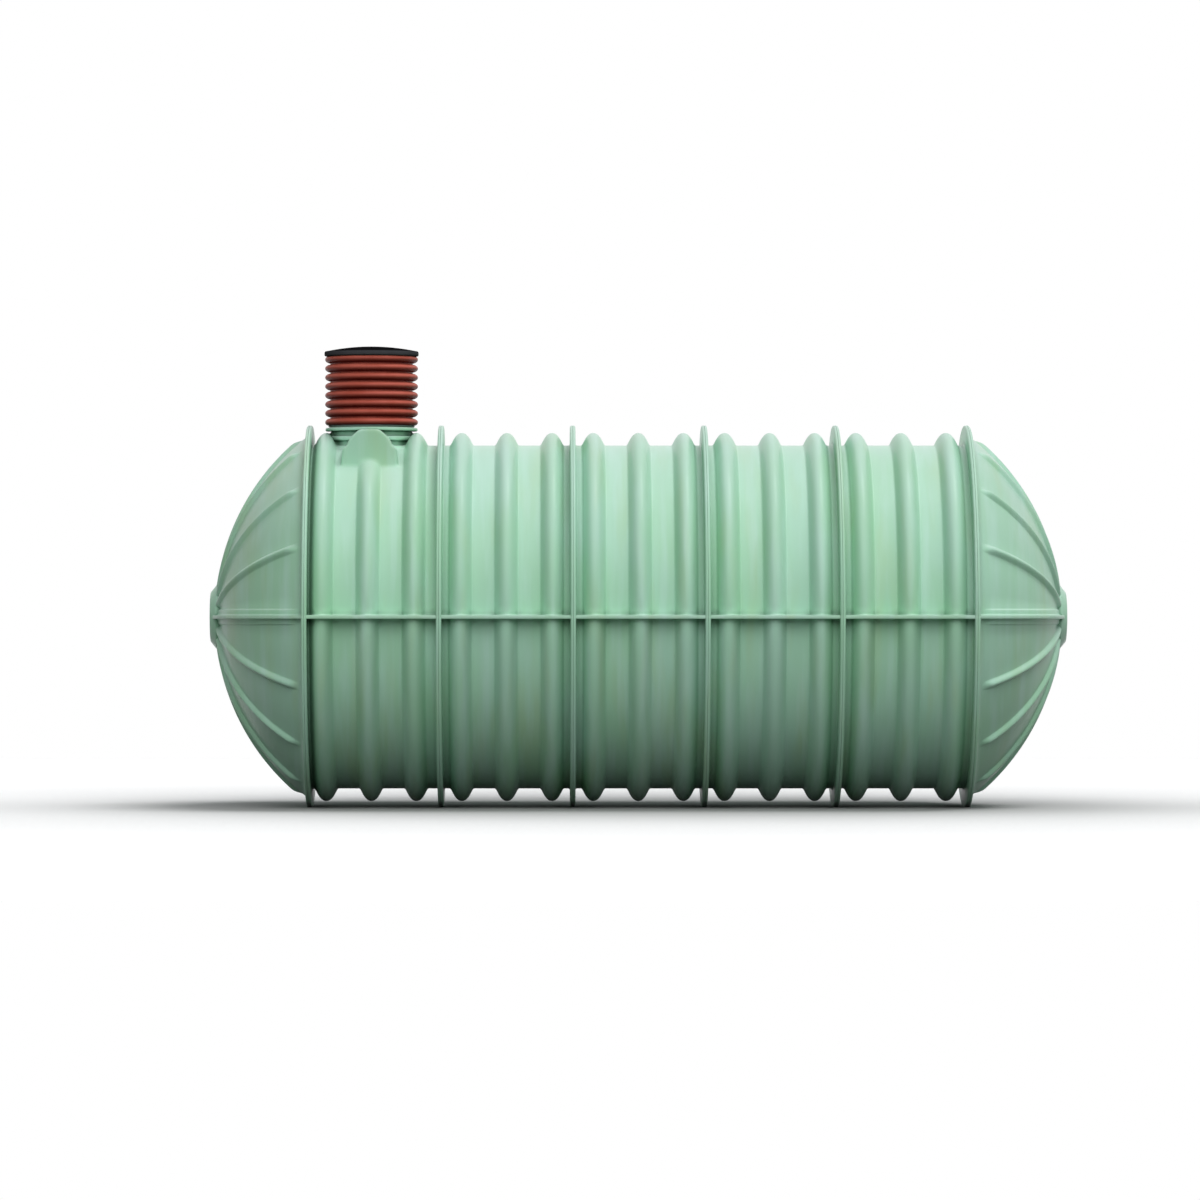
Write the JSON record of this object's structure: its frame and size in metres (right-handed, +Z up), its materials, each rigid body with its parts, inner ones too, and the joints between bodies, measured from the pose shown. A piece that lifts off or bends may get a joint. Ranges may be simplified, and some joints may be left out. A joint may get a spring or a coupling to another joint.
{
  "type": "horizontal round water tank",
  "caption": "Lying round water tank of ribbed half shells with domed ends, a moulded neck with flat pipe pads, a corrugated riser and a round cover.",
  "frame": {"origin": "on the ground under the middle of the tank, at the centre of its footprint", "axes": "+X along the tank's axis, away from the end with the riser, +Z up"},
  "size_m": [5.984, 2.68, 3.2185],
  "materials": {
    "green_gelcoat": "semi-gloss moulded glass-fibre laminate",
    "red_plastic": "semi-gloss corrugated pipe",
    "black_plastic": "satin moulded",
    "grey_rubber": "matt"
  },
  "bodies": {
    "root": {"shell_upper_1": "green_gelcoat", "shell_upper_2": "green_gelcoat", "shell_upper_3": "green_gelcoat", "shell_upper_4": "green_gelcoat", "shell_upper_5": "green_gelcoat", "shell_lower_1": "green_gelcoat", "shell_lower_2": "green_gelcoat", "shell_lower_3": "green_gelcoat", "shell_lower_4": "green_gelcoat", "shell_lower_5": "green_gelcoat", "dome_upper_riser_end": "green_gelcoat", "dome_lower_riser_end": "green_gelcoat", "dome_upper_far_end": "green_gelcoat", "dome_lower_far_end": "green_gelcoat", "dome_boss_riser_end": "green_gelcoat", "dome_boss_far_end": "green_gelcoat", "neck_collar": "green_gelcoat", "riser_seal": "grey_rubber", "riser": "red_plastic", "riser_cover": "black_plastic"}
  },
  "joints": []
}
